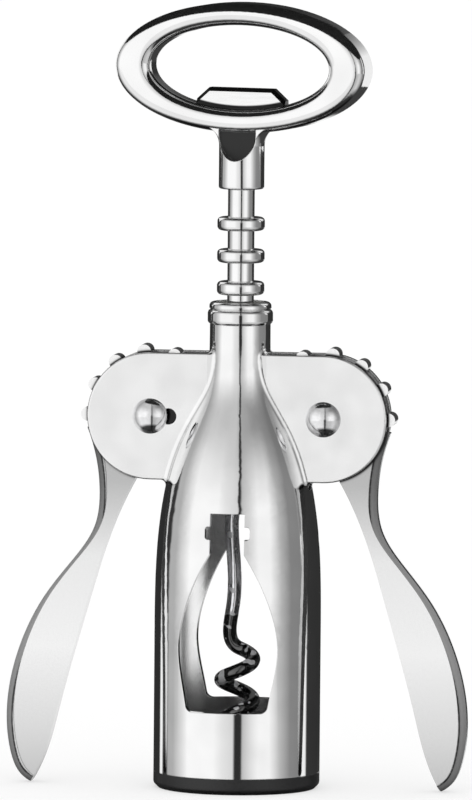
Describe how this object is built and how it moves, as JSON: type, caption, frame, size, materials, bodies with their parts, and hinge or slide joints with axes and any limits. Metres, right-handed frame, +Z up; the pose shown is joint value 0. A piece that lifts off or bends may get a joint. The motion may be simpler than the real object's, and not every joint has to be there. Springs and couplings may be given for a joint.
{
  "type": "wing corkscrew",
  "caption": "Winged corkscrew: bottle-shaped body with two geared levers, a ringed rack, a wire worm and an oval handle with a cap lifter",
  "frame": {"origin": "centre of the base ring's lower face, on the table", "axes": "+Z up along the bottle's axis, the front of the handle and the rivet heads face -Y, the levers open along +X and -X"},
  "size_m": [0.1012, 0.0362, 0.171],
  "materials": {
    "polished_body": "mirror-polished chrome plate on a zinc casting",
    "satin_lever": "satin chrome plate, fine-blasted faces",
    "satin_steel": "satin stamped steel",
    "polished_steel": "turned and polished steel",
    "coated_wire": "bright shank, black non-stick coat on the coils",
    "black_ring": "moulded black plastic, lightly textured",
    "guide_bush": "moulded white acetal"
  },
  "bodies": {
    "frame": {"bottle_body": "polished_body", "base_ring": "black_ring", "neck_cap": "polished_body", "neck_bush": "guide_bush", "left_pivot_pin": "polished_steel", "right_pivot_pin": "polished_steel", "left_pin_cap": "polished_steel", "right_pin_cap": "polished_steel"},
    "rack": {"rack_sleeve": "polished_steel"},
    "screw": {"worm": "coated_wire", "handle": "polished_body", "cap_lifter": "satin_steel", "handle_pin": "polished_steel", "stop_collar": "polished_steel"},
    "left_arm": {"left_lever": "satin_lever"},
    "right_arm": {"right_lever": "satin_lever"}
  },
  "joints": [
    {"name": "right_hinge", "type": "hinge", "parent": "frame", "child": "right_arm", "pos_m": [0.019, 0, 0.081], "axis": [0, -1, 0], "range_deg": [-16.5, 95]},
    {"name": "left_hinge", "type": "hinge", "parent": "frame", "child": "left_arm", "pos_m": [-0.019, 0, 0.081], "axis": [0, 1, 0], "range_deg": [-16.5, 95]},
    {"name": "rack_slide", "type": "slide", "parent": "frame", "child": "rack", "axis": [0, 0, 1], "range_m": [-0.0241, 0.0042]},
    {"name": "handle_spin", "type": "hinge", "parent": "rack", "child": "screw", "pos_m": [0, 0, 0.13], "axis": [0, 0, 1], "continuous": true}
  ],
  "couplings": [
    {"joint": "left_hinge", "follows": "right_hinge", "ratio": 1},
    {"joint": "rack_slide", "follows": "right_hinge", "m_per_rad": -0.014483}
  ]
}
